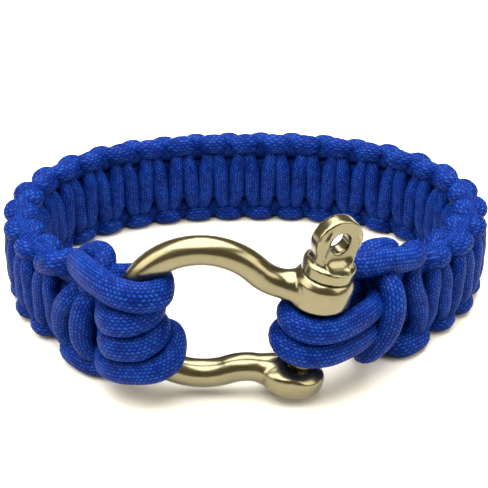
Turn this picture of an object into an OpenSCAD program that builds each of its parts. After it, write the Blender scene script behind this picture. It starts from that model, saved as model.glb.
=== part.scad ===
// Paracord bracelet, woven in the cobra stitch and closed by a bow shackle with a screw pin.
// It lies on its edge on the plane z = 0 with the shackle at the front, towards -Y.

/* [Ring] */
// Width of the ring, side to side, along the middle of the band
ring_w = 87.5; // [75:0.5:105]
// Depth of the ring, front to back, along the middle of the band
ring_d = 61; // [54:0.5:80]

/* [Woven band] */
// Height of the band, which is the bracelet's width on the wrist
band_h = 19.6; // [18:0.1:24]
// Thickness of the band
band_t = 7.8; // [7:0.1:10]
// Length along the band in which the weave repeats
weave_pitch = 6.9; // [6:0.1:9]
// Height of the cords above the grooves between them
rib = 0.7; // [0.3:0.05:0.9]

/* [Cord] */
// Width of a cord where it is pressed flat round the shackle
cord_w = 4.1; // [3.6:0.1:4.3]
// Thickness of a cord there
cord_t = 3.6; // [3:0.1:3.9]
// Space between a cord and what it lies against
cord_gap = 0.3; // [0.2:0.05:0.5]
// Length of ring between the bow's far end and the band
bow_lead = 10; // [8:0.5:14]
// Length of ring between the pin and the band
pin_lead = 12; // [10:0.5:16]

/* [Shackle bow] */
// Thickness of the bow's round bar
bar_d = 5.1; // [4:0.1:5.5]
// Radius of the bow's round end, to the middle of the bar
bow_r = 12.5; // [11.5:0.1:15]
// Radius of the bend between the bow and a leg
waist_r = 8.5; // [6:0.1:11]
// Length of a straight leg, from the pin's axis
leg_l = 6.6; // [5.5:0.1:9]
// Thickness that the leg's taper reaches inside the ear, at the pin's axis
root_d = 8.4; // [5.5:0.1:9]
// Distance between the middles of the ears
ear_pitch = 17.8; // [17.4:0.1:20]
// Diameter of an ear
ear_d = 10.4; // [9.5:0.1:12]
// Length of an ear along the pin
ear_h = 6.8; // [6.4:0.1:8.4]
// Radius of the domed faces of an ear
ear_dome_r = 8.4; // [6:0.1:10]
// Length by which an ear is drawn out towards its leg
ear_long = 1.4; // [0.4:0.1:2]
// Radius of the shoulder round the upper ear's seat
seat_round = 5.75; // [5.5:0.05:6.2]
// Height of that flat seat over the middle of the ear
seat_h = 3.75; // [3.4:0.05:3.9]
// Radius of the bulb that joins the upper ear to its leg
bulb_r = 3.6; // [3:0.05:3.7]
// Distance of that bulb's middle from the pin
bulb_x = 2.9; // [2:0.1:3.4]
// Height of the lower ear over the floor, as the band and its cords carry the shackle
ear_lift = 0.6; // [0:0.1:1]
// Lean of the pin towards the band's right end, in degrees
pin_lean = 12.8; // [0:0.2:16]
// Distance from the middle of the ring to the pin, sideways
pin_side = 10.3; // [7:0.1:14]
// Distance that the shackle stands in front of the ring
shackle_out = 2.6; // [1:0.1:5]

/* [Screw pin] */
// Diameter of the pin
pin_d = 4.9; // [4:0.1:5.2]
// Space between the pin and its holes, on the radius
pin_fit = 0.05; // [0.02:0.01:0.1]
// Distance of the pin's lower end from the end of its ear
pin_short = 0.8; // [0.6:0.1:2]
// Diameter of the collar that seats on the upper ear
collar_d = 9; // [8:0.1:10.4]
// Thickness of the collar
collar_h = 2.35; // [1.2:0.05:3]
// Diameter of the round stem over the collar, and of the knob that ends it
stem_d = 7.4; // [6:0.1:7.8]
// Radius of the scoops that flatten the stem and its knob to the tab
scoop_r = 2.6; // [1.5:0.1:3.4]
// Width of the flattened tab over the collar
tab_w = 8.6; // [7.5:0.1:10]
// Thickness of the tab
tab_t = 2.7; // [2:0.1:3.5]
// Height of the eye's middle over the collar
eye_z = 4.1; // [3.8:0.1:6]
// Diameter of the eye in the tab
eye_d = 3.6; // [2.5:0.1:4.5]
// Turn of the tab about the pin, in degrees
tab_turn = 25; // [-45:1:45]

/* [Hidden] */
$fn = 64;
CORD_BLUE = "#1d43c8";
STEEL = "#b8b09c";

// Shape of the ring: [azimuth from the front, share of the plain oval's radius]
RING = [[0, 0.985], [30, 1.02], [60, 0.97], [90, 0.99], [120, 1.045], [150, 1.02],
        [180, 1.0], [210, 1.04], [240, 1.06], [270, 0.98], [300, 0.885], [330, 0.905]];
RING_STEP = 30;
// Middle of the ring, which puts the middle of the whole bracelet on the origin
ring_at = [0.1, 2.3];

// Radius share at an azimuth, smooth from row to row
function share_row(i) = RING[(i + len(RING)) % len(RING)][1];
function smooth_mix(a, b, c, d, t) =
    b + t * (c - a + t * (2 * a - 5 * b + 4 * c - d + t * (3 * b - 3 * c + d - a))) / 2;
function ring_share(turn) =
    let (i = floor(turn / RING_STEP), t = turn / RING_STEP - i)
    smooth_mix(share_row(i - 1), share_row(i), share_row(i + 1), share_row(i + 2), t);
// Point of the ring after a turn from the front, by the left side, to the back and round
function ring_point(turn) =
    let (az = -90 - turn, m = (turn + 360) % 360,
         oval = 1 / norm([cos(az) * 2 / ring_w, sin(az) * 2 / ring_d]))
    ring_share(m) * oval * [cos(az), sin(az)] + ring_at;

// Length along the ring, counted from the front, against the turn
TURN_STEP = 3;
turn_marks = [for (i = 0, s = 0; i <= 360; s = s + norm(ring_point(i + TURN_STEP) - ring_point(i)),
              i = i + TURN_STEP) [s, i]];
ring_len = turn_marks[len(turn_marks) - 1][0];
function ring_turn(s) = lookup(s, turn_marks);
function unit(v) = v / norm(v);
function ring_along(turn) = unit(ring_point(turn + 1) - ring_point(turn - 1));
function ring_out(turn) = let (a = ring_along(turn)) [-a[1], a[0]];

// The shackle: sizes that follow from its bends, and its place
waist_turn = acos(1 - (bow_r - ear_pitch / 2) / (bow_r + waist_r));
bow_x = leg_l + (bow_r + waist_r) * sin(waist_turn);
bow_reach = bow_x + bow_r;
ear_dome_x = ear_dome_r - ear_h / 2;
pin_z = ear_lift + ear_dome_r
    + (ear_pitch / 2 - ear_dome_x) * cos(pin_lean) - ear_long / 2 * sin(pin_lean);
pin_at = [ring_at[0] + pin_side, ring_point(0)[1] - shackle_out, pin_z];
// A point given in the shackle's own directions, put where the shackle is
function at_shackle(p) = turned(p) + pin_at;
function turned(p) = [p[0] * cos(pin_lean) + p[2] * sin(pin_lean), p[1],
                      p[2] * cos(pin_lean) - p[0] * sin(pin_lean)];

// Where the band starts, at the bow, and ends, at the pin, along the ring
band_start = bow_reach * cos(pin_lean) - pin_side + bow_lead;
band_end = ring_len - pin_side - pin_lead;
half_stitches = round(2 * (band_end - band_start) / weave_pitch);
RINGS_HALF = 4;
band_rings = half_stitches * RINGS_HALF;
SIDES = 20;
SQUARE = 0.62;

// Rounded section of the band: share of its half sizes at an angle about the middle
function rounded(x) = sign(x) * pow(abs(x), SQUARE);
// Height of a cord over the surface: bars cross the faces twice in a repeat, and the
// turns at the edges alternate between the outer and the inner half
function cord_rise(phase, a) =
    rib * (-pow(cos(a), 2) * cos(2 * phase) + 2 * sin(a) * cos(a) * cos(phase));
function band_point(i, j) =
    let (s = band_start + (band_end - band_start) * i / band_rings, turn = ring_turn(s),
         a = 360 * j / SIDES, phase = 180 * (i / RINGS_HALF - 0.6), rise = cord_rise(phase, a),
         n = (band_t / 2 - rib + rise * abs(cos(a))) * rounded(cos(a)),
         z = (band_h / 2 + rise * abs(sin(a))) * rounded(sin(a)),
         p = ring_point(turn) + n * ring_out(turn))
    [p[0], p[1], z + band_h / 2];

// A closed tube through rings of points, all with as many sides
module tube(rings) {
    n = len(rings);
    m = len(rings[0]);
    points = [for (ring = rings, p = ring) p];
    sides = [for (i = [0:n - 2], j = [0:m - 1]) let (k = (j + 1) % m, a = i * m, b = a + m)
             each [[a + j, b + k, a + k], [a + j, b + j, b + k]]];
    caps = [[for (j = [0:m - 1]) j], [for (j = [0:m - 1]) n * m - 1 - j]];
    polyhedron(points, concat(sides, caps));
}

// A cord through rows of [point, direction of its width]
CORD_SIDES = 8;
function row_point(rows, i) = rows[max(0, min(len(rows) - 1, i))][0];
function cord_ring(rows, i) =
    let (along = unit(row_point(rows, i + 1) - row_point(rows, i - 1)),
         thick = unit(cross(along, rows[i][1])), wide = cross(thick, along))
    [for (j = [0:CORD_SIDES - 1]) let (a = 360 * (j + 0.5) / CORD_SIDES)
        rows[i][0] + wide * cord_w / 2 * cos(a) + thick * cord_t / 2 * sin(a)];
module cord(rows) {
    tube([for (i = [0:len(rows) - 1]) cord_ring(rows, i)]);
}

// A loop of cord from one end of the band round a bar of the shackle and back
UP = [0, 0, 1];
FRONT = [0, -1, 0];
cord_column = (cord_t + cord_gap) / 2;
LOOP_STEP = 30;
LEAD_STEPS = 4;
LEAD_BOW = 0.52;
// Space between the band's end and the cords there, which leave it at a slant
LEAD_GAP = 0.65;
function flat(p, z) = [p[0], p[1], z];
function bezier(a, b, c, d, t) =
    a * pow(1 - t, 3) + 3 * b * pow(1 - t, 2) * t + 3 * c * (1 - t) * t * t + d * t * t * t;
// Stretch of a loop between the band's end and the bar, on the outer or the inner side
function lead_rows(turn, away, side, z, to, onward, bar) =
    let (out = away * flat(ring_along(turn), 0),
         from = flat(ring_point(turn) + side * cord_column * ring_out(turn), z) + LEAD_GAP * out,
         pull = LEAD_BOW * norm(to - from))
    [for (i = [0:LEAD_STEPS - 1]) let (t = i / LEAD_STEPS)
        [bezier(from, from + pull * out, to - pull * onward, to, t), UP * (1 - t) + bar * t]];
function reversed(rows) = [for (i = [len(rows) - 1:-1:0]) rows[i]];
// The whole loop: out of the band's end, round the bar on its inward side and back
function loop_rows(turn, away, z, mid, inward, bar, bar_r) =
    let (r = bar_r + cord_gap + cord_t / 2, onward = turned(inward), along_bar = turned(bar),
         front = at_shackle(mid + r * FRONT), back = at_shackle(mid - r * FRONT))
    concat(lead_rows(turn, away, 1, z, front, onward, along_bar),
           [for (a = [90:-LOOP_STEP:-90])
            [at_shackle(mid + r * (inward * cos(a) + FRONT * sin(a))), along_bar]],
           reversed(lead_rows(turn, away, -1, z, back, onward, along_bar)));

// The four loops on the bow, from the top: [turn round the bow's end, share of the band's height]
BOW_CORDS = [[31, 1.02], [-1, 0.76], [-32, 0.5], [-62, 0.25]];
module bow_cord(i) {
    f = BOW_CORDS[i][0];
    inward = [cos(f), 0, -sin(f)];
    mid = [-bow_x, 0, 0] - bow_r * inward;
    bar = [sin(f), 0, cos(f)];
    color(CORD_BLUE)
        cord(loop_rows(ring_turn(band_start), -1, BOW_CORDS[i][1] * band_h,
                       mid, inward, bar, bar_d / 2));
}

// The two loops on the pin, from the top: share of the band's height
PIN_CORDS = [0.62, 0.36];
module pin_cord(i) {
    mid = [0, 0, (0.5 - i) * (cord_w + cord_gap)];
    color(CORD_BLUE)
        cord(loop_rows(ring_turn(band_end), 1, PIN_CORDS[i] * band_h,
                       mid, [-1, 0, 0], UP, pin_d / 2));
}

module band() {
    color(CORD_BLUE)
        tube([for (i = [0:band_rings]) [for (j = [0:SIDES - 1]) band_point(i, j)]]);
}

module on_shackle() {
    translate(pin_at) rotate([0, pin_lean, 0]) children();
}

// A round bar bent about the Y axis, from one direction in the XZ plane by a turn
module bent_bar(r, from, by) {
    rotate([90, 0, 0]) rotate([0, 0, from])
        rotate_extrude(angle = by) translate([r, 0]) circle(d = bar_d);
}

// A fine raised line round the bar, where two of its stretches meet
LINE_L = 0.4;
LINE_RISE = 0.03;
module joint_line(x, z, lean) {
    translate([x, 0, z]) rotate([0, 90 + lean, 0])
        cylinder(h = LINE_L, d = bar_d + 2 * LINE_RISE, center = true);
}

// A ball drawn out towards the leg
module long_ball(r) {
    for (x = [0, -ear_long]) translate([x, 0, 0]) sphere(r = r);
    translate([-ear_long, 0, 0]) rotate([0, 90, 0]) cylinder(h = ear_long, r = r);
}
// The sphere that gives an ear one of its domed faces
module ear_dome(side) {
    translate([-ear_long / 2, 0, side * ear_dome_x]) sphere(r = ear_dome_r);
}
// The upper ear, cut flat for the collar, and the lower ear, upside down and domed on both faces
module seated_ear() {
    intersection() {
        union() {
            intersection() {
                sphere(r = seat_round);
                translate([0, 0, seat_h - 2 * ear_h]) cylinder(h = 2 * ear_h, d = ear_d);
            }
            translate([-bulb_x, 0, 0]) sphere(r = bulb_r);
        }
        ear_dome(1);
    }
}
module domed_ear() {
    intersection() {
        long_ball(ear_d / 2);
        ear_dome(1);
        ear_dome(-1);
    }
}

// One leg, on the upper side, with the ear at its end
module leg() {
    translate([-leg_l, 0, ear_pitch / 2]) rotate([0, 90, 0]) cylinder(h = leg_l, d1 = bar_d, d2 = root_d);
    translate([-leg_l, 0, ear_pitch / 2 + waist_r]) bent_bar(waist_r, -90 - waist_turn, waist_turn);
    joint_line(-leg_l, ear_pitch / 2, 0);
    joint_line(bow_r * sin(waist_turn) - bow_x, bow_r * cos(waist_turn), waist_turn);
    translate([0, 0, ear_pitch / 2]) children();
}

module shackle_bow() {
    color(STEEL) on_shackle() difference() {
        union() {
            translate([-bow_x, 0, 0])
                bent_bar(bow_r, 90 - waist_turn, 180 + 2 * waist_turn);
            leg() seated_ear();
            mirror([0, 0, 1]) leg() domed_ear();
        }
        cylinder(h = ear_pitch + 2 * ear_h, d = pin_d + 2 * pin_fit, center = true);
    }
}

// What is scooped out of the stem, in front of the tab
SCOOP_SIDE = 1.1;
SCOOP_SINK = 0.1;
module scoop() {
    tall = 2 * tab_w;
    translate([0, -tab_t / 2 - scoop_r, scoop_r - SCOOP_SINK]) {
        translate([-SCOOP_SIDE, 0, 0]) rotate([0, 90, 0]) cylinder(h = 2 * SCOOP_SIDE, r = scoop_r);
        for (x = [-SCOOP_SIDE, SCOOP_SIDE]) translate([x, 0, 0]) {
            sphere(r = scoop_r);
            cylinder(h = tall, r = scoop_r);
        }
        translate([-SCOOP_SIDE, -scoop_r, 0]) cube([2 * SCOOP_SIDE, 2 * scoop_r, tall]);
    }
}

module shackle_pin() {
    seat = ear_pitch / 2 + seat_h;
    foot = (ear_pitch + ear_h) / 2 - pin_short;
    color(STEEL) on_shackle() difference() {
        union() {
            translate([0, 0, -foot]) cylinder(h = foot + seat + collar_h, d = pin_d);
            translate([0, 0, seat + pin_fit]) cylinder(h = collar_h, d = collar_d);
            translate([0, 0, seat + collar_h]) rotate([0, 0, tab_turn]) {
                cylinder(h = eye_z, d = stem_d);
                translate([0, 0, eye_z]) sphere(d = stem_d);
                rotate([90, 0, 0]) linear_extrude(tab_t, center = true) {
                    translate([0, eye_z]) circle(d = tab_w);
                    translate([-stem_d / 2, 0]) square([stem_d, eye_z]);
                }
            }
        }
        translate([0, 0, seat + collar_h]) rotate([0, 0, tab_turn]) {
            scoop();
            rotate([0, 0, 180]) scoop();
            translate([0, 0, eye_z]) rotate([90, 0, 0]) cylinder(h = 2 * stem_d, d = eye_d, center = true);
        }
    }
}

band();
bow_cord(0);  // bow_cord_1
bow_cord(1);  // bow_cord_2
bow_cord(2);  // bow_cord_3
bow_cord(3);  // bow_cord_4
pin_cord(0);  // pin_cord_1
pin_cord(1);  // pin_cord_2
shackle_bow();
shackle_pin();
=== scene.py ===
"""Looks of a paracord bracelet in the cobra stitch, closed by a bow shackle with a screw pin."""

import math
import random

import bmesh
import bpy
import numpy as np
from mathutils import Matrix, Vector


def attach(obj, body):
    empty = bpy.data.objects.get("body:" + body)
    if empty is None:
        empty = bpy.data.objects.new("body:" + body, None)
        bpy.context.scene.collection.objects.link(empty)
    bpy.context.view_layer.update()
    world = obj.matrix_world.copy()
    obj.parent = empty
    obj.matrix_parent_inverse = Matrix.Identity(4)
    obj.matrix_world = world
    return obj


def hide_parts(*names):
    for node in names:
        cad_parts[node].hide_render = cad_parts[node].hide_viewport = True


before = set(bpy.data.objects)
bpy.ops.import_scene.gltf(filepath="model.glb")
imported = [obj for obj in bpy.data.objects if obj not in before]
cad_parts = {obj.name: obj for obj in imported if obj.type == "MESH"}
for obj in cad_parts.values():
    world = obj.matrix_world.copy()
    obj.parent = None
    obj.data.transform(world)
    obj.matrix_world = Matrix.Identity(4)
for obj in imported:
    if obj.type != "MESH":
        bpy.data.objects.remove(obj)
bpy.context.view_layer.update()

bl_info = {
    "name": "Paracord bracelet",
    "version": (1, 0, 0),
    "blender": (4, 5, 0),
    "location": "View3D > Sidebar > Bracelet",
    "description": "Dresses a paracord bracelet with woven cords, a bow shackle and its screw pin",
    "category": "Object",
}

MM = 0.001

# The ring's shape, as in the part's source: its radius as a share of the plain oval's,
# every RING_STEP degrees from the front and round by the left side
RING = (0.985, 1.02, 0.97, 0.99, 1.045, 1.02, 1.0, 1.04, 1.06, 0.98, 0.885, 0.905)
RING_STEP = 30

# A strand from the middle of its bar to the top of its turn at the edge, a quarter of the weave:
# share of the repeat along the band, shares of the half height and the half thickness,
# and the cord's width and thickness in millimetres
OUTER_QUARTER = (
    (0.000, 0.00, 0.60, 3.45, 3.1),
    (-0.020, 0.26, 0.61, 3.40, 3.1),
    (-0.065, 0.48, 0.53, 3.10, 3.0),
    (-0.095, 0.64, 0.32, 2.80, 3.0),
    (-0.060, 0.76, 0.02, 3.00, 3.2),
    (0.030, 0.84, -0.24, 3.60, 3.8),
    (0.130, 0.865, -0.33, 4.10, 4.1),
    (0.250, 0.87, -0.34, 4.20, 4.1),
)
INNER_QUARTER = (
    (0.000, 0.00, 0.60, 3.45, 3.1),
    (-0.020, 0.26, 0.61, 3.40, 3.1),
    (-0.065, 0.44, 0.53, 3.10, 3.0),
    (-0.095, 0.57, 0.32, 2.80, 3.0),
    (-0.050, 0.68, -0.02, 3.00, 3.2),
    (0.040, 0.75, -0.30, 3.60, 3.6),
    (0.140, 0.775, -0.43, 3.90, 3.8),
    (0.250, 0.78, -0.46, 4.00, 3.8),
)

# Where the weave stops and the knot's listed strands begin, in repeats from the band's ends
OUTER_SPAN = (0.80, 1.70)
INNER_SPAN = (1.30, 1.95)

# The strands' ends, as they lie in the knots at the shackle, in millimetres: along the ring from
# the band's end into the band, outwards from its middle line, above the floor, and the cord's
# width and thickness
OUTER_AT_BOW = (
    (-4.4, 0.4, 16.8, 3.6, 3.4),
    (-3.2, 2.6, 16.4, 3.8, 3.6),
    (-2.7, 4.2, 14.6, 4.3, 3.8),
    (-2.4, 4.9, 11.8, 4.7, 3.8),
    (-2.2, 4.9, 8.8, 4.7, 3.8),
    (-2.9, 4.5, 6.4, 4.3, 3.8),
    (-4.2, 3.2, 5.0, 3.8, 3.7),
    (-4.8, 0.8, 4.0, 3.7, 3.6),
    (-3.0, -1.3, 2.8, 3.8, 3.7),
    (-0.2, -1.4, 2.2, 4.0, 3.9),
    (1.8, 0.2, 2.4, 4.0, 3.9),
    (3.0, 2.3, 3.6, 3.8, 3.6),
    (3.8, 3.2, 5.8, 4.0, 3.4),
    (3.8, 3.5, 8.8, 4.2, 3.4),
    (3.1, 3.5, 11.6, 4.2, 3.4),
    (1.7, 3.2, 14.0, 4.0, 3.5),
    (0.5, 1.8, 16.0, 3.7, 3.5),
    (1.0, -0.4, 17.8, 3.7, 3.6),
    (3.0, -1.7, 18.4, 3.9, 3.8),
)
INNER_AT_BOW = (
    (-6.4, 0.8, 4.2, 3.7, 3.6),
    (-5.6, 2.8, 3.0, 4.1, 4.0),
    (-3.2, 3.6, 2.15, 4.4, 4.2),
    (0.0, 3.5, 2.15, 4.4, 4.2),
    (2.6, 2.9, 2.15, 4.4, 4.2),
    (4.1, 1.2, 2.3, 4.2, 4.0),
    (4.5, -1.4, 3.6, 3.8, 3.6),
    (4.4, -2.4, 7.5, 3.45, 3.1),
    (3.9, -2.4, 12.5, 3.45, 3.1),
    (3.3, -1.9, 16.4, 3.6, 3.4),
    (3.4, 0.0, 18.9, 4.0, 4.0),
    (4.9, 1.9, 19.3, 4.3, 4.2),
    (7.0, 2.1, 18.6, 4.4, 4.2),
)
OUTER_AT_PIN = (
    (10.6, -0.6, 18.0, 3.8, 3.8),
    (9.0, 1.2, 17.2, 3.5, 3.5),
    (8.6, 2.3, 14.8, 3.6, 3.3),
    (9.8, 2.7, 10.9, 3.9, 3.3),
    (10.5, 2.7, 7.1, 3.8, 3.3),
    (9.9, 2.2, 4.0, 3.5, 3.4),
    (8.2, 0.0, 2.4, 3.8, 3.8),
    (5.2, -1.8, 2.1, 4.0, 4.0),
    (1.6, -1.6, 2.2, 4.0, 4.0),
    (-0.4, 0.2, 3.0, 4.1, 4.1),
    (-1.4, 2.4, 4.0, 4.3, 4.1),
    (-1.8, 4.4, 5.0, 4.4, 4.1),
    (-1.4, 6.0, 7.0, 4.5, 4.0),
    (-0.6, 7.2, 9.6, 4.7, 3.9),
    (0.2, 7.6, 12.2, 4.8, 3.9),
    (0.6, 7.6, 14.6, 4.8, 3.9),
    (0.8, 7.1, 17.0, 4.6, 3.9),
    (1.3, 5.0, 18.8, 4.3, 3.8),
    (1.2, 2.6, 18.2, 4.1, 3.8),
    (0.5, 0.2, 18.8, 4.1, 3.8),
    (-0.2, -1.5, 20.0, 4.2, 4.0),
    (1.8, -2.4, 21.0, 4.3, 4.1),
    (4.6, -2.7, 20.8, 4.3, 4.1),
    (7.0, -2.8, 19.8, 4.0, 3.9),
    (7.8, -2.8, 17.4, 3.6, 3.5),
)
INNER_AT_PIN = (
    (13.2, -2.4, 6.0, 3.45, 3.1),
    (12.9, -1.4, 3.3, 3.8, 3.6),
    (12.3, 0.8, 2.3, 4.2, 4.0),
    (11.0, 2.6, 2.15, 4.4, 4.2),
    (9.0, 3.1, 2.15, 4.4, 4.2),
    (6.8, 3.0, 2.15, 4.4, 4.2),
    (5.4, 1.6, 2.3, 4.2, 4.0),
    (5.2, -0.8, 3.2, 3.8, 3.6),
    (5.8, -2.3, 6.2, 3.45, 3.1),
    (7.0, -2.5, 10.5, 3.45, 3.1),
    (8.4, -2.3, 15.0, 3.6, 3.3),
    (9.5, -1.3, 18.4, 4.0, 3.8),
    (9.7, 0.6, 20.2, 4.3, 4.2),
    (8.6, 2.1, 20.5, 4.5, 4.3),
    (6.4, 2.5, 20.9, 4.6, 4.3),
    (3.5, 2.6, 21.6, 4.7, 4.3),
    (0.5, 2.7, 22.2, 4.7, 4.3),
    (-2.5, 2.6, 22.5, 4.6, 4.3),
    (-5.0, 1.6, 22.2, 4.4, 4.2),
    (-6.6, -0.4, 20.8, 4.2, 4.0),
    (-5.8, -2.0, 18.6, 4.0, 3.8),
    (-3.0, -2.2, 16.2, 3.8, 3.6),
    (0.5, -1.5, 14.5, 3.6, 3.4),
)

# The two knotting strands: the face that the bars cross, 1 for the outer one, the quarter of the
# weave that repeats, where it stops, how far into a repeat it starts, the seed of its unevenness
# and the ends in the two knots
STRANDS = {
    "weave_outer_strand": {
        "face": 1, "quarter": OUTER_QUARTER, "span": OUTER_SPAN, "phase": 0.55, "seed": 11,
        "at_bow": OUTER_AT_BOW, "at_pin": OUTER_AT_PIN,
    },
    "weave_inner_strand": {
        "face": -1, "quarter": INNER_QUARTER, "span": INNER_SPAN, "phase": 0.05, "seed": 23,
        "at_bow": INNER_AT_BOW, "at_pin": INNER_AT_PIN,
    },
}
# How far a turn strays up and along, as a share of the half height and of the repeat
UNEVEN = 0.012
# How far a row may lie past the end of the weave and still be kept, as a share of the repeat
SLACK = 0.03

# The loops through the shackle, from the top: each leaves the inner side of the band, passes
# behind the bar or the pin, turns round it and comes back in front. Place along X, Y and Z, and
# the cord's width and thickness, in millimetres
BOW_LOOPS = (
    (
        (-28.5, -17.0, 16.5, 3.8, 3.6),
        (-26.0, -20.2, 18.2, 4.0, 3.8),
        (-23.2, -23.2, 19.8, 4.2, 3.8),
        (-20.0, -25.2, 21.0, 4.3, 3.7),
        (-16.9, -26.3, 21.7, 4.5, 3.6),
        (-14.5, -28.0, 22.1, 4.8, 3.5),
        (-13.6, -30.4, 22.4, 5.1, 3.4),
        (-13.9, -32.6, 22.5, 5.2, 3.4),
        (-15.6, -34.5, 22.9, 5.2, 3.5),
        (-18.3, -35.2, 23.2, 5.2, 3.6),
        (-21.8, -33.6, 23.4, 5.2, 3.7),
        (-25.0, -30.0, 23.2, 5.2, 3.8),
        (-27.4, -26.2, 22.7, 5.2, 3.8),
        (-29.0, -22.8, 21.9, 5.1, 3.8),
        (-29.6, -19.6, 20.2, 4.8, 3.8),
        (-28.8, -16.8, 17.5, 4.2, 3.6),
        (-27.5, -15.5, 15.0, 3.8, 3.4),
    ),
    (
        (-29.0, -16.4, 14.0, 3.8, 3.6),
        (-26.4, -20.0, 14.4, 4.0, 3.8),
        (-23.2, -23.4, 15.2, 4.2, 3.8),
        (-19.8, -25.5, 16.6, 4.4, 3.8),
        (-17.0, -27.2, 17.7, 4.6, 3.7),
        (-15.3, -30.3, 18.3, 4.7, 3.7),
        (-16.2, -33.2, 18.4, 4.8, 3.8),
        (-18.8, -35.0, 18.1, 4.8, 3.9),
        (-21.2, -34.9, 17.8, 4.8, 3.9),
        (-23.0, -33.3, 17.2, 4.8, 3.9),
        (-23.8, -30.6, 16.5, 4.6, 3.8),
        (-23.9, -27.8, 16.2, 4.4, 3.8),
        (-24.7, -24.8, 16.0, 4.2, 3.7),
        (-26.8, -21.6, 16.0, 4.0, 3.6),
        (-29.0, -19.4, 16.0, 3.8, 3.5),
    ),
    (
        (-29.0, -16.4, 9.6, 3.8, 3.6),
        (-26.4, -20.0, 10.0, 4.0, 3.8),
        (-23.0, -23.6, 10.8, 4.2, 3.8),
        (-19.4, -25.6, 12.2, 4.4, 3.8),
        (-16.4, -27.2, 13.3, 4.7, 3.7),
        (-14.6, -30.3, 13.9, 5.0, 3.7),
        (-15.2, -33.2, 13.9, 5.0, 3.8),
        (-17.8, -35.0, 13.1, 4.9, 3.9),
        (-20.8, -34.9, 12.8, 4.8, 3.9),
        (-22.8, -33.4, 12.3, 4.8, 3.9),
        (-23.7, -30.6, 11.6, 4.6, 3.8),
        (-23.9, -27.6, 11.3, 4.4, 3.8),
        (-24.8, -24.4, 11.3, 4.2, 3.7),
        (-27.0, -21.4, 11.5, 4.0, 3.6),
        (-29.0, -19.2, 11.7, 3.8, 3.5),
    ),
    (
        (-29.0, -16.8, 5.4, 3.8, 3.6),
        (-26.2, -20.2, 5.6, 4.0, 3.8),
        (-22.6, -23.8, 6.4, 4.2, 3.8),
        (-18.6, -25.7, 8.4, 4.4, 3.8),
        (-15.2, -26.6, 10.4, 4.7, 3.8),
        (-12.8, -28.7, 11.4, 5.0, 3.8),
        (-12.0, -31.2, 10.8, 5.2, 3.8),
        (-12.8, -33.8, 9.6, 5.1, 3.9),
        (-15.4, -35.1, 8.5, 4.9, 3.9),
        (-18.8, -34.9, 7.9, 4.8, 3.9),
        (-21.8, -33.7, 7.2, 4.5, 3.8),
        (-24.2, -31.2, 6.4, 4.0, 3.6),
        (-24.9, -28.0, 6.1, 3.8, 3.5),
        (-25.4, -24.8, 6.0, 3.8, 3.5),
        (-26.9, -22.0, 5.9, 3.8, 3.5),
        (-28.8, -19.6, 5.9, 3.8, 3.5),
    ),
)
PIN_LOOPS = (
    (
        (27.3, -16.4, 12.8, 3.8, 3.4),
        (24.7, -16.8, 13.2, 3.8, 3.5),
        (22.3, -17.1, 13.8, 3.8, 3.6),
        (19.5, -20.2, 14.8, 4.0, 3.8),
        (16.4, -24.0, 15.4, 4.2, 3.8),
        (12.8, -25.9, 15.9, 4.4, 3.8),
        (9.2, -26.9, 16.5, 4.4, 3.8),
        (6.9, -30.2, 17.2, 4.5, 3.8),
        (7.8, -33.6, 17.0, 4.6, 3.9),
        (10.9, -35.0, 16.4, 4.6, 3.9),
        (14.4, -34.4, 16.2, 4.6, 3.9),
        (17.8, -32.0, 16.2, 4.6, 3.9),
        (20.4, -29.2, 16.1, 4.5, 3.9),
        (22.2, -26.0, 15.8, 4.2, 3.8),
        (22.8, -22.8, 15.3, 4.0, 3.6),
        (23.4, -20.2, 14.8, 3.9, 3.5),
        (25.0, -17.8, 14.2, 3.8, 3.5),
    ),
    (
        (27.3, -16.4, 7.8, 3.8, 3.4),
        (24.7, -16.8, 8.2, 3.8, 3.5),
        (21.9, -17.4, 8.8, 3.8, 3.6),
        (19.0, -20.4, 9.8, 4.0, 3.8),
        (15.8, -24.2, 10.6, 4.2, 3.8),
        (11.9, -26.0, 11.3, 4.4, 3.8),
        (8.1, -27.0, 12.1, 4.4, 3.8),
        (5.6, -30.2, 12.7, 4.5, 3.8),
        (6.5, -33.7, 12.5, 4.6, 3.9),
        (9.5, -35.1, 11.7, 4.6, 3.9),
        (13.2, -34.6, 11.4, 4.6, 3.9),
        (16.8, -32.3, 11.3, 4.6, 3.9),
        (19.8, -29.3, 11.2, 4.5, 3.9),
        (21.8, -26.2, 11.0, 4.2, 3.8),
        (22.4, -23.0, 10.6, 4.0, 3.6),
        (23.2, -20.4, 10.2, 3.9, 3.5),
        (24.8, -18.0, 10.0, 3.8, 3.5),
    ),
)
# The short turn behind the top loop at the bow
TUCK = (
    (-29.0, -16.0, 19.0, 3.8, 3.6),
    (-27.2, -17.6, 20.8, 4.2, 4.0),
    (-25.5, -19.4, 21.8, 4.5, 4.2),
    (-24.6, -21.4, 21.7, 4.6, 4.2),
    (-24.9, -23.4, 20.6, 4.4, 4.1),
    (-26.2, -24.2, 19.0, 4.0, 3.8),
    (-27.8, -23.2, 17.4, 3.8, 3.6),
)
# The top loop at the bow, spread flat over the bar, and the turn behind it lean back, in degrees
FLAT_LOOPS = ("bow_loop_1", "bow_tuck")
FLAT_LEAN = 28

# The core cords: how many, how far they reach past the band's two ends and their thickness, in
# millimetres
CORES = 4
CORE_OVER = (1.0, 2.6)
CORE_THICK = 3.4
# How far below an edge of the band a strand's flat side starts to turn over it, in millimetres
EDGE = 4

# Points of a cord's curve for each row of its table, and a core's steps in millimetres
STRAND_STEPS = 4
LOOP_STEPS = 5
CORE_STEP = 2
# Corners of the cords' sections, and the power that squares their ellipse a little
STRAND_SIDES = 14
LOOP_SIDES = 16
CORE_SIDES = 12
SQUARE = 0.93

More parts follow.
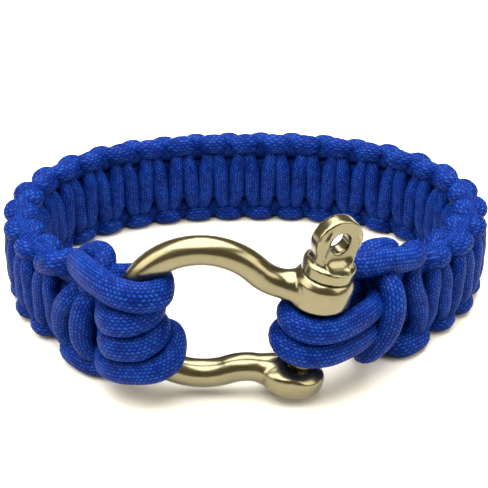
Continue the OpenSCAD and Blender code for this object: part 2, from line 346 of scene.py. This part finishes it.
# Sizes of the finishes' patterns, in millimetres: patches of the dye in the cord, patches of the
# polish and tumbling marks on the steel, and the clouds in the card. The real tumbling marks are
# finer, and are drawn as coarse as they need to be to show
DYE_PATCH = 3.846
STEEL_PATCH = 5.556
STEEL_GRAIN = 2 / 3
CARD_CLOUD = 71.43

# The cord's sheath: how far a stitch slants across its row, as a share of its length, the least
# and the most of the painted highlight that a stitch takes, the shares that the crowns' painted
# highlight and the patches of dye have in the colour, roughness in the groove and on the crown,
# relief in millimetres, and the weak shine of nylon yarn
STITCH_SLANT = 0.45
STITCH_LIGHT = (0.4, 1.3)
CROWN_HIGHLIGHT_SHARE = 0.75
DYE_SHARE = 0.5
NYLON_ROUGH = (0.6, 0.44)
YARN_RELIEF = 0.08
NYLON_SHINE = 0.05
# The steel: the share of its colour that its dark patches keep, its least roughness, in those, and
# its most, and the relief of the tumbling marks in millimetres
STEEL_DARK = 0.84
STEEL_ROUGH = (0.18, 0.3)
GRAIN_RELIEF = 0.02
# The card: the share of its colour that its faint clouds keep, and its roughness
CARD_DARK = 0.985
CARD_ROUGH = 0.8

# The plain pieces of the shackle, their castings and the bodies that these ride on
CASTINGS = (
    ("shackle_bow", "bow_casting", "bracelet"),
    ("shackle_pin", "pin_casting", "pin"),
)

# The soft lights: place, width and height in metres, watts and colour
LIGHTS = {
    "soft_top": ((-0.06, 0.05, 0.95), (1.4, 1.1), 38.0, "#fffdf8"),
    "soft_left": ((-0.85, -0.25, 0.55), (0.8, 0.6), 7.5, "#fff8ea"),
    "soft_right": ((0.85, -0.25, 0.55), (0.8, 0.6), 6.5, "#fff8ea"),
}
# The floor's side in metres, and what the lights face, in millimetres above it
FLOOR_SIDE = 6.0
LIT_HEIGHT = 10


def prop(kind, name, text, default, **more):
    """One property of a group."""
    return kind(name=name, description=text, default=default, **more)


def length(name, text, default):
    """A length, given in millimetres and kept in metres."""
    return prop(bpy.props.FloatProperty, name, text, default * MM,
                unit="LENGTH", subtype="DISTANCE", precision=5)


def shade(name, text, default):
    """A colour, given as the sRGB hex value that an artist would pick."""
    return prop(bpy.props.StringProperty, name, text, default)


class BandSizes(bpy.types.PropertyGroup):
    """Sizes of the ring and of its woven band."""

    ring_w: length("Ring width", "Side to side, along the middle of the band", 87.5)
    ring_d: length("Ring depth", "Front to back, along the middle of the band", 61)
    shift_x: length("Ring shift sideways", "Middle of the ring from the origin, along X", 0.1)
    shift_y: length("Ring shift back", "Middle of the ring from the origin, along Y", 2.3)
    height: length("Band height", "The bracelet's width on the wrist", 19.6)
    thick: length("Band thickness", "From the inner to the outer face", 7.8)
    pitch: length("Weave repeat", "Length in which the weave repeats", 6.9)
    start: length("Band start", "Along the ring from the front to the bow's end of the band", 29.8)
    end: length("Band end", "Along the ring from the pin's end of the band to the front", 22.3)


class CordLooks(bpy.types.PropertyGroup):
    """Make of the cord."""

    blue: shade("Cord colour", "Nylon yarn, dyed royal blue", "#02206c")
    # The groove colour is painted shade where the yarns cross, and the yarn highlight is a painted
    # highlight on the yarns' crowns
    painted_groove_shade: shade("Groove colour", "The dye where the yarns cross and hide the light", "#010f46")
    light: shade("Yarn highlight", "The crown of a yarn, rubbed a little lighter", "#173f8c")
    yarn: length("Yarn width", "Across one row of stitches of the braided sheath", 0.55)
    stitch: length("Stitch length", "Between two stitches along the cord", 0.68)


class ShackleLooks(bpy.types.PropertyGroup):
    """Make of the shackle."""

    steel: shade("Steel colour", "Stainless steel with a warm satin polish", "#787258")
    voxel: length("Casting detail", "Grain of the mesh that rounds the casting's corners", 0.26)
    soften: prop(bpy.props.IntProperty, "Softening",
                 "Passes that round the casting's corners", 10, min=0, max=40)


class StageSizes(bpy.types.PropertyGroup):
    """Floor, lights and camera."""

    camera_x: length("Camera sideways", "Camera's place along X", -0.47)
    camera_y: length("Camera back", "Camera's place along Y", -188.99)
    camera_z: length("Camera height", "Camera's place above the floor", 125.91)
    pitch: prop(bpy.props.FloatProperty, "Camera pitch", "Below the horizon",
                math.radians(31.04), subtype="ANGLE")
    roll: prop(bpy.props.FloatProperty, "Camera roll", "About the line of sight",
               math.radians(0.15), subtype="ANGLE")
    lens: prop(bpy.props.FloatProperty, "Lens", "Focal length on a 36 mm sensor",
               84.04, unit="CAMERA")
    card: shade("Floor colour", "Matt card, nearly white and a little warm", "#e2e0da")
    room: shade("Room colour", "Warm light from the room all round", "#ffeabb")
    room_light: prop(bpy.props.FloatProperty, "Room light", "Strength of the light from the room",
                     0.28, min=0, max=10)


# Curves

def between(a, b, c, d, t):
    """The place at share t of the way from b to c, on a smooth curve through a, b, c and d."""
    return b + t * (c - a + t * (2 * a - 5 * b + 4 * c - d + t * (3 * b - 3 * c + d - a))) / 2


def smooth_rows(rows, steps):
    """Rows of a smooth curve through the given rows, steps of them to each stretch."""
    rows = np.asarray(rows, float)
    ends = np.vstack([2 * rows[0] - rows[1], rows, 2 * rows[-1] - rows[-2]])
    t = (np.arange(steps) / steps)[:, None]
    stretches = [between(*near, t) for near in zip(ends, ends[1:], ends[2:], ends[3:])]
    return np.vstack(stretches + [rows[-1:]])


def unit(v):
    """Vectors of length 1 that point the same ways."""
    return v / np.linalg.norm(v, axis=-1, keepdims=True)


class Ring:
    """The line along the middle of the band, counted from the front and round by the left side."""

    def __init__(self, sizes):
        # A table step past a full turn at each end, so that places near the front have a
        # neighbour on both sides
        turns = np.arange(-RING_STEP, 361 + RING_STEP, 1.0)
        table = np.array(RING)
        cell = np.floor(turns / RING_STEP).astype(int)
        near = (table[(cell + k) % len(table)] for k in (-1, 0, 1, 2))
        share = between(*near, turns / RING_STEP - cell)
        angle = np.radians(-90 - turns)
        oval = 1 / np.hypot(np.cos(angle) * 2 / sizes.ring_w, np.sin(angle) * 2 / sizes.ring_d)
        radius = share * oval
        self.x = radius * np.cos(angle) + sizes.shift_x
        self.y = radius * np.sin(angle) + sizes.shift_y
        steps = np.hypot(np.diff(self.x), np.diff(self.y))
        self.s = np.concatenate([[0], np.cumsum(steps)])
        self.s -= np.interp(0, turns, self.s)
        self.length = np.interp(360, turns, self.s)

    def place(self, s, out, up):
        """Points beside the ring: along it, outwards from it and above the floor."""
        at = np.stack([np.interp(s, self.s, self.x), np.interp(s, self.s, self.y)], -1)
        side = self.outward(s)
        return np.column_stack([at + side * np.asarray(out)[:, None], up])

    def outward(self, s):
        """The level direction away from the wrist, at places along the ring."""
        ahead, behind = np.asarray(s) + MM, np.asarray(s) - MM
        dx = np.interp(ahead, self.s, self.x) - np.interp(behind, self.s, self.x)
        dy = np.interp(ahead, self.s, self.y) - np.interp(behind, self.s, self.y)
        size = np.hypot(dx, dy)
        return np.stack([-dy / size, dx / size], -1)


# Meshes

def sweep(name, points, thick_way, width, thick, sides):
    """A closed cord through the points: an ellipse a little squared, with a UV map in metres."""
    points = np.asarray(points)
    along = unit(np.gradient(points, axis=0))
    wide_way = unit(np.cross(along, thick_way))
    thick_way = np.cross(wide_way, along)
    angle = np.arange(sides) * 2 * math.pi / sides
    c, s = (np.sign(f) * np.abs(f) ** SQUARE for f in (np.cos(angle), np.sin(angle)))
    rings = (points[:, None] + wide_way[:, None] * (c[None] * width[:, None] / 2)[..., None]
             + thick_way[:, None] * (s[None] * thick[:, None] / 2)[..., None])
    steps = np.linalg.norm(np.diff(points, axis=0), axis=1)
    reach = np.concatenate([[0], np.cumsum(steps)])
    # A whole even number of yarn rows goes round, so that the braid closes on itself
    pair = 2 * bpy.context.scene.bracelet_cord.yarn
    girth = pair * max(1, round(float(np.mean(width + thick)) * math.pi / 2 / pair))
    count = len(points)
    verts = rings.reshape(-1, 3)
    i, j = np.meshgrid(np.arange(count - 1), np.arange(sides), indexing="ij")
    k = (j + 1) % sides
    faces = np.stack([i * sides + j, i * sides + k, (i + 1) * sides + k, (i + 1) * sides + j], -1)
    faces = faces.reshape(-1, 4)
    caps = [tuple(range(sides))[::-1], tuple(range((count - 1) * sides, count * sides))]
    mesh = bpy.data.meshes.new(name)
    mesh.from_pydata(verts.tolist(), [], faces.tolist() + caps)
    uv = mesh.uv_layers.new(name="cord")
    u = np.stack([j, j + 1, j + 1, j], -1).reshape(-1) / sides * girth
    v = np.stack([reach[i], reach[i], reach[i + 1], reach[i + 1]], -1).reshape(-1)
    # The two caps keep a UV of nought
    flat = np.zeros((len(mesh.loops), 2), np.float32)
    flat[:len(u), 0] = u
    flat[:len(v), 1] = v
    uv.data.foreach_set("uv", flat.ravel())
    mesh.polygons.foreach_set("use_smooth", [True] * len(mesh.polygons))
    mesh.update()
    obj = bpy.data.objects.new(name, mesh)
    bpy.context.scene.collection.objects.link(obj)
    fix_normals(obj)
    return obj


def fix_normals(obj):
    """Faces point outwards, on every loose part of the mesh."""
    work = bmesh.new()
    work.from_mesh(obj.data)
    bmesh.ops.recalc_face_normals(work, faces=work.faces)
    work.to_mesh(obj.data)
    work.free()


def join(objs, name):
    """One piece from several, under a new name."""
    bpy.ops.object.select_all(action="DESELECT")
    for obj in objs:
        obj.select_set(True)
    bpy.context.view_layer.objects.active = objs[0]
    bpy.ops.object.join()
    objs[0].name = name
    objs[0].data.name = name
    return objs[0]


# Materials

def colour(hexa):
    """Linear colour of an sRGB hex value."""
    parts = [int(hexa[i:i + 2], 16) / 255 for i in (1, 3, 5)]
    linear = (p / 12.92 if p <= 0.04045 else ((p + 0.055) / 1.055) ** 2.4 for p in parts)
    return (*linear, 1.0)


def dimmed(tint, share):
    """A linear colour times a share."""
    return tuple(share * v for v in tint[:3]) + (1.0,)


def plug(tree, made, **inputs):
    """Gives a node's inputs values, or links them from other nodes. An input goes by its name,
    with _ for a space, or by its number, as _0."""
    for key, value in inputs.items():
        number = key[1:]
        socket = made.inputs[int(number) if number.isdigit() else key.replace("_", " ")]
        if isinstance(value, bpy.types.NodeSocket):
            tree.links.new(value, socket)
        elif isinstance(value, bpy.types.Node):
            tree.links.new(value.outputs[0], socket)
        else:
            socket.default_value = value


def node(tree, kind, settings=None, **inputs):
    """Adds a node with its settings and its inputs. A colour ramp's stops are a setting too, each
    a place and a linear colour."""
    made = tree.nodes.new("ShaderNode" + kind)
    for key, value in (settings or {}).items():
        if key == "stops":
            bar = made.color_ramp.elements
            while len(bar) < len(value):
                bar.new(0.5)
            for element, (place, tint) in zip(bar, value):
                element.position = place
                element.color = tint
        else:
            setattr(made, key, value)
    plug(tree, made, **inputs)
    return made


def blank_material(name):
    """A new material, its node tree and its shader."""
    mat = bpy.data.materials.new(name)
    mat.use_nodes = True
    return mat, mat.node_tree, mat.node_tree.nodes["Principled BSDF"]


def braided_nylon(looks):
    """Nylon parachute cord: a braided sheath of flat yarns, with painted shade in the grooves and
    a painted highlight on the crowns, which also shine softly.
    """
    mat, tree, shader = blank_material("braided_nylon_cord")
    uv = node(tree, "UVMap", {"uv_map": "cord"})
    parts = node(tree, "SeparateXYZ", _0=uv)
    # Rows of stitches run along the cord
    across = node(tree, "Math", {"operation": "DIVIDE"}, _0=parts.outputs[0], _1=looks.yarn)
    along = node(tree, "Math", {"operation": "DIVIDE"}, _0=parts.outputs[1], _1=looks.stitch)
    row = node(tree, "Math", {"operation": "FLOOR"}, _0=across)
    inside = node(tree, "Math", {"operation": "FRACT"}, _0=across)
    # Neighbouring rows slant opposite ways, and lie half a stitch apart
    odd = node(tree, "Math", {"operation": "PINGPONG"}, _0=row, _1=1.0)
    way = node(tree, "Math", {"operation": "MULTIPLY_ADD"}, _0=odd, _1=2.0, _2=-1.0)
    off_middle = node(tree, "Math", {"operation": "SUBTRACT"}, _0=inside, _1=0.5)
    slant = node(tree, "Math", {"operation": "MULTIPLY"}, _0=way, _1=off_middle)
    shifted = node(tree, "Math", {"operation": "MULTIPLY_ADD"}, _0=odd, _1=0.5, _2=along)
    place_along = node(tree, "Math", {"operation": "MULTIPLY_ADD"}, _0=slant, _1=STITCH_SLANT,
                       _2=shifted)
    stitch = node(tree, "Math", {"operation": "FRACT"}, _0=place_along)

    def crown(share):
        """Height across one yarn: 0 in the groove and 1 on the crown."""
        turn = node(tree, "Math", {"operation": "MULTIPLY"}, _0=share, _1=math.pi)
        return node(tree, "Math", {"operation": "SINE"}, _0=turn)

    height = node(tree, "Math", {"operation": "MULTIPLY"}, _0=crown(stitch), _1=crown(inside))
    # Each stitch's painted highlight is a little brighter or dimmer, at random
    number = node(tree, "Math", {"operation": "FLOOR"}, _0=place_along)
    cell = node(tree, "CombineXYZ", _0=row, _1=number)
    chance = node(tree, "TexWhiteNoise", {"noise_dimensions": "2D"}, Vector=cell)
    least, most = STITCH_LIGHT
    share = node(tree, "Math", {"operation": "MULTIPLY_ADD"}, _0=chance.outputs["Value"],
                 _1=most - least, _2=least)
    height_lit = node(tree, "Math", {"operation": "MULTIPLY"}, _0=height, _1=share)
    # Slight unevenness of the dye and of the yarns' tension
    place = node(tree, "TexCoord").outputs["Object"]
    cloud = node(tree, "TexNoise", Vector=place, Scale=1 / (DYE_PATCH * MM), Detail=3.0)
    # The crowns' painted highlight, added to the patches of dye
    crown_highlight = node(tree, "Math", {"operation": "MULTIPLY"}, _0=height_lit, _1=CROWN_HIGHLIGHT_SHARE)
    dye_and_painted_highlight = node(tree, "Math", {"operation": "MULTIPLY_ADD"}, _0=cloud, _1=DYE_SHARE, _2=crown_highlight)
    # The ramp paints shade into the grooves with the groove colour and a highlight onto the crowns
    # with the yarn highlight
    tint = node(tree, "ValToRGB", {"stops": (
        (0.2, colour(looks.painted_groove_shade)), (0.5, colour(looks.blue)), (1.0, colour(looks.light)),
    )}, Fac=dye_and_painted_highlight)
    # A yarn's crown is rubbed smoother than the groove beside it
    groove, crest = NYLON_ROUGH
    rough = node(tree, "Math", {"operation": "MULTIPLY_ADD"}, _0=height, _1=crest - groove,
                 _2=groove)
    bump = node(tree, "Bump", Height=height, Distance=YARN_RELIEF * MM, Strength=0.7)
    plug(tree, shader, Base_Color=tint, Roughness=rough, Normal=bump,
         Specular_IOR_Level=NYLON_SHINE)
    return mat


def satin_steel(looks):
    """Cast stainless steel, tumbled to a satin polish: soft wide highlights and faint patches."""
    mat, tree, shader = blank_material("satin_stainless_steel")
    place = node(tree, "TexCoord").outputs["Object"]
    cloud = node(tree, "TexNoise", Vector=place, Scale=1 / (STEEL_PATCH * MM), Detail=4.0,
                 Roughness=0.6)
    grain = node(tree, "TexNoise", Vector=place, Scale=1 / (STEEL_GRAIN * MM), Detail=3.0)
    base = colour(looks.steel)
    tint = node(tree, "ValToRGB", {"stops": ((0.3, dimmed(base, STEEL_DARK)), (0.62, base))},
                Fac=cloud)
    least, most = STEEL_ROUGH
    rough = node(tree, "Math", {"operation": "MULTIPLY_ADD"}, _0=cloud, _1=most - least, _2=least)
    bump = node(tree, "Bump", Height=grain, Distance=GRAIN_RELIEF * MM, Strength=0.35)
    plug(tree, shader, Base_Color=tint, Roughness=rough, Normal=bump, Metallic=1.0)
    # The thin film of oil that handling leaves gives pale glints over the warm metal
    plug(tree, shader, Coat_Weight=0.4, Coat_Roughness=0.22)
    return mat


def matt_card(looks):
    """Matt white card, as a product is laid on for its picture: it takes soft shadows."""
    mat, tree, shader = blank_material("matt_white_card")
    place = node(tree, "TexCoord").outputs["Object"]
    cloud = node(tree, "TexNoise", Vector=place, Scale=1 / (CARD_CLOUD * MM), Detail=2.0)
    base = colour(looks.card)
    tint = node(tree, "ValToRGB", {"stops": ((0.35, dimmed(base, CARD_DARK)), (0.65, base))},
                Fac=cloud)
    plug(tree, shader, Base_Color=tint, Roughness=CARD_ROUGH)
    return mat


MATERIALS = {}


def dress(obj, name):
    """Gives an object one of the materials, made when it is first asked for."""
    scene = bpy.context.scene
    makers = {
        "cord": lambda: braided_nylon(scene.bracelet_cord),
        "steel": lambda: satin_steel(scene.bracelet_shackle),
        "card": lambda: matt_card(scene.bracelet_stage),
    }
    if name not in MATERIALS:
        MATERIALS[name] = makers[name]()
    obj.data.materials.clear()
    obj.data.materials.append(MATERIALS[name])


# The woven band

def strand_rows(band, ring, make):
    """Rows of one knotting strand, from knot to knot: along, height, outward, width and
    thickness, in metres."""
    quarter = np.array(make["quarter"])
    span = ring.length - band.end - band.start
    halves = round(2 * span / band.pitch)
    pitch = 2 * span / halves
    rng = random.Random(make["seed"])
    rows = []
    # One half repeat takes the strand from the apex at one edge to the apex at the other
    for half in range(-1, halves + 1):
        rise = 1 if half % 2 == 0 else -1
        lift = 1 + rng.uniform(-UNEVEN, UNEVEN)
        slip = rng.uniform(-UNEVEN, UNEVEN)
        for sign, part in ((-1, quarter[:0:-1]), (1, quarter[:-1])):
            for along, high, out, width, thick in part:
                s = half / 2 + sign * along + slip
                rows.append((s * pitch, sign * rise * high * lift, out, width, thick))
    rows = np.array(rows)
    rows[:, 0] += band.start + make["phase"] * pitch
    rows[:, 1] = band.height / 2 * (1 + rows[:, 1])
    rows[:, 2] *= make["face"] * band.thick / 2
    rows[:, 3:] *= MM
    # The turns at the lower edge are pressed on the floor
    rows[:, 1] = np.maximum(rows[:, 1], rows[:, 4] / 2)
    first, last = make["span"]
    finish = ring.length - band.end
    past_bow = rows[:, 0] > band.start + first * pitch - SLACK * pitch
    before_pin = rows[:, 0] < finish - last * pitch + SLACK * pitch
    # The knots' tables give the way outwards before the height
    at_bow = np.array(make["at_bow"])[:, [0, 2, 1, 3, 4]] * MM
    at_pin = np.array(make["at_pin"])[:, [0, 2, 1, 3, 4]] * MM
    at_bow[:, 0] += band.start
    at_pin[:, 0] = finish - at_pin[:, 0]
    return np.vstack([at_bow, rows[past_bow & before_pin], at_pin])


def weave_strand(name, band, ring, make):
    """One knotting strand: its bars cross one face, and its turns lie on the edges' other half."""
    rows = smooth_rows(strand_rows(band, ring, make), STRAND_STEPS)
    points = ring.place(rows[:, 0], rows[:, 2], rows[:, 1])
    # The cord is flattest against the core, so it is thin along the line away from the core
    core_high = band.height / 2 - EDGE * MM
    height = rows[:, 1] - band.height / 2
    over = height - np.clip(height, -core_high, core_high)
    away = np.column_stack([ring.outward(rows[:, 0]) * rows[:, 2:3], over])
    return sweep(name, points, unit(away), rows[:, 3], rows[:, 4], STRAND_SIDES)


def core_strand(name, band, ring, high):
    """A core cord along the middle of the band, seen only between the bars and in the knots."""
    first = band.start - CORE_OVER[0] * MM
    last = ring.length - band.end + CORE_OVER[1] * MM
    s = np.arange(first, last, CORE_STEP * MM)
    flat = np.zeros(len(s))
    points = ring.place(s, flat, flat + high)
    away = np.column_stack([ring.outward(s), flat])
    # The cores are pressed together, so each is as wide as its share of the band
    width = flat + band.height / CORES
    return sweep(name, points, away, width, flat + CORE_THICK * MM, CORE_SIDES)


class BRACELET_OT_weave(bpy.types.Operator):
    """Weaves the band from two knotting strands over its core cords"""

    bl_idname = "bracelet.weave"
    bl_label = "Weave the band"

    def execute(self, context):
        band = context.scene.bracelet_band
        ring = Ring(band)
        for name, make in STRANDS.items():
            strand = weave_strand(name, band, ring, make)
            dress(strand, "cord")
            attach(strand, "bracelet")
            # The outer strand stands for the plain band, and the other pieces are added to it
            if name == "weave_outer_strand":
                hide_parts("band")
        cores = [core_strand(f"core_{i}", band, ring, band.height * (2 * i + 1) / (2 * CORES))
                 for i in range(CORES)]
        core = join(cores, "weave_core_cords")
        dress(core, "cord")
        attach(core, "bracelet")
        return {"FINISHED"}


# The loops through the shackle

def loop_cord(name, rows, lean):
    """A cord through the shackle. Its flat side faces away from what it goes round, and leans
    back by lean."""
    rows = smooth_rows(np.array(rows) * MM, LOOP_STEPS)
    points = rows[:, :3]
    along = unit(np.gradient(points, axis=0))
    upright = np.array([0, math.sin(lean), math.cos(lean)])
    away = unit(np.cross(upright, along))
    return sweep(name, points, away, rows[:, 3], rows[:, 4], LOOP_SIDES)


class BRACELET_OT_loops(bpy.types.Operator):
    """Lays the cord loops round the bow and round the pin"""

    bl_idname = "bracelet.loops"
    bl_label = "Lay the loops"

    def execute(self, context):
        plan = [(f"bow_loop_{i}", f"bow_cord_{i}", rows) for i, rows in enumerate(BOW_LOOPS, 1)]
        plan += [(f"pin_loop_{i}", f"pin_cord_{i}", rows) for i, rows in enumerate(PIN_LOOPS, 1)]
        # The short turn stands for no plain piece
        plan.append(("bow_tuck", None, TUCK))
        for name, node_name, rows in plan:
            lean = math.radians(FLAT_LEAN if name in FLAT_LOOPS else 0)
            cord = loop_cord(name, rows, lean)
            dress(cord, "cord")
            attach(cord, "bracelet")
            if node_name:
                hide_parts(node_name)
        return {"FINISHED"}


# The shackle

def cast_copy(node_name, name, looks):
    """A copy of a plain piece with the rounded corners of a casting."""
    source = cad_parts[node_name]
    obj = bpy.data.objects.new(name, source.data.copy())
    bpy.context.scene.collection.objects.link(obj)
    bpy.ops.object.select_all(action="DESELECT")
    obj.select_set(True)
    bpy.context.view_layer.objects.active = obj
    bpy.ops.object.mode_set(mode="EDIT")
    bpy.ops.mesh.select_all(action="SELECT")
    bpy.ops.mesh.remove_doubles(threshold=0.001 * MM)
    bpy.ops.object.mode_set(mode="OBJECT")
    remesh = obj.modifiers.new("voxels", "REMESH")
    remesh.mode = "VOXEL"
    remesh.voxel_size = looks.voxel
    bpy.ops.object.modifier_apply(modifier=remesh.name)
    smooth = obj.modifiers.new("softening", "CORRECTIVE_SMOOTH")
    smooth.use_only_smooth = True
    smooth.smooth_type = "LENGTH_WEIGHTED"
    smooth.iterations = looks.soften
    bpy.ops.object.modifier_apply(modifier=smooth.name)
    obj.data.polygons.foreach_set("use_smooth", [True] * len(obj.data.polygons))
    return obj


class BRACELET_OT_shackle(bpy.types.Operator):
    """Casts the bow and the screw pin of the shackle"""

    bl_idname = "bracelet.shackle"
    bl_label = "Cast the shackle"

    def execute(self, context):
        looks = context.scene.bracelet_shackle
        for node_name, name, body in CASTINGS:
            piece = cast_copy(node_name, name, looks)
            dress(piece, "steel")
            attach(piece, body)
            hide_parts(node_name)
        return {"FINISHED"}


# Floor, lights and camera

def area_light(name, at, size, power, tint):
    """A soft light that faces the bracelet."""
    data = bpy.data.lights.new(name, "AREA")
    data.shape = "RECTANGLE"
    data.size, data.size_y = size
    data.energy = power
    data.color = colour(tint)[:3]
    obj = bpy.data.objects.new(name, data)
    obj.location = at
    way = Vector((0, 0, LIT_HEIGHT * MM)) - Vector(at)
    obj.rotation_euler = way.to_track_quat("-Z", "Y").to_euler()
    bpy.context.scene.collection.objects.link(obj)


class BRACELET_OT_stage(bpy.types.Operator):
    """Lays the floor, hangs the soft lights and sets up the camera"""

    bl_idname = "bracelet.stage"
    bl_label = "Set the stage"

    def execute(self, context):
        stage = context.scene.bracelet_stage
        bpy.ops.object.select_all(action="DESELECT")
        bpy.ops.mesh.primitive_plane_add(size=FLOOR_SIDE)
        floor = context.object
        floor.name = "floor"
        dress(floor, "card")
        world = bpy.data.worlds.new("studio")
        world.use_nodes = True
        plug(world.node_tree, world.node_tree.nodes["Background"],
             Color=colour(stage.room), Strength=stage.room_light)
        context.scene.world = world
        for name, settings in LIGHTS.items():
            area_light(name, *settings)
        context.scene.view_settings.view_transform = "Standard"
        data = bpy.data.cameras.new("camera")
        data.lens = stage.lens
        data.sensor_width = 36
        data.clip_start = 10 * MM
        camera = bpy.data.objects.new("camera", data)
        camera.location = (stage.camera_x, stage.camera_y, stage.camera_z)
        camera.rotation_euler = (math.pi / 2 - stage.pitch, 0, 0)
        camera.rotation_euler.rotate_axis("Z", stage.roll)
        context.scene.collection.objects.link(camera)
        context.scene.camera = camera
        return {"FINISHED"}


class BRACELET_PT_sizes(bpy.types.Panel):
    """Sizes and colours of the bracelet, and a button for each of its pieces"""

    bl_idname = "BRACELET_PT_sizes"
    bl_label = "Paracord bracelet"
    bl_space_type = "VIEW_3D"
    bl_region_type = "UI"
    bl_category = "Bracelet"

    def draw(self, context):
        for key, group in GROUPS.items():
            box = self.layout.box()
            settings = getattr(context.scene, key)
            for name in group.__annotations__:
                box.prop(settings, name)
        for operator in OPERATORS:
            self.layout.operator(operator.bl_idname)


GROUPS = {
    "bracelet_band": BandSizes,
    "bracelet_cord": CordLooks,
    "bracelet_shackle": ShackleLooks,
    "bracelet_stage": StageSizes,
}
OPERATORS = (BRACELET_OT_weave, BRACELET_OT_loops, BRACELET_OT_shackle, BRACELET_OT_stage)


def register():
    for cls in (*GROUPS.values(), *OPERATORS, BRACELET_PT_sizes):
        bpy.utils.register_class(cls)
    for key, group in GROUPS.items():
        setattr(bpy.types.Scene, key, bpy.props.PointerProperty(type=group))


def unregister():
    for key in GROUPS:
        delattr(bpy.types.Scene, key)
    for cls in (BRACELET_PT_sizes, *reversed(OPERATORS), *reversed(GROUPS.values())):
        bpy.utils.unregister_class(cls)


def main():
    """Builds the bracelet and its stage."""
    register()
    bpy.ops.bracelet.weave()
    bpy.ops.bracelet.loops()
    bpy.ops.bracelet.shackle()
    bpy.ops.bracelet.stage()


if __name__ == "__main__":
    main()
